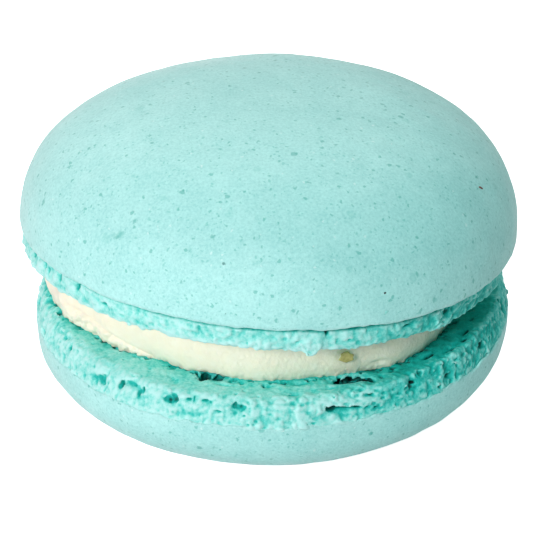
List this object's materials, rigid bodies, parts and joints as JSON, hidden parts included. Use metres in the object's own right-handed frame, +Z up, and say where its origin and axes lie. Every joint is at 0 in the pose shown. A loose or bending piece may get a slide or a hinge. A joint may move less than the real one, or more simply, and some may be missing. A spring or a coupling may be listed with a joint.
{
  "type": "macaron",
  "caption": "Filled macaron: two domed almond meringue shells with ragged feet, sandwiched with a layer of ivory buttercream.",
  "frame": {"origin": "on the ground under the middle of the whole, on the small flat that the lower shell stands on", "axes": "+Z up; -Y towards the front, where the gap between the shells is widest; +X to the right"},
  "size_m": [0.046, 0.0458, 0.0307],
  "materials": {
    "meringue": "dull, smooth on the dome and ragged on the foot",
    "buttercream": "soft, satin"
  },
  "bodies": {
    "root": {"upper_shell": "meringue", "filling": "buttercream", "lower_shell": "meringue"}
  },
  "joints": []
}
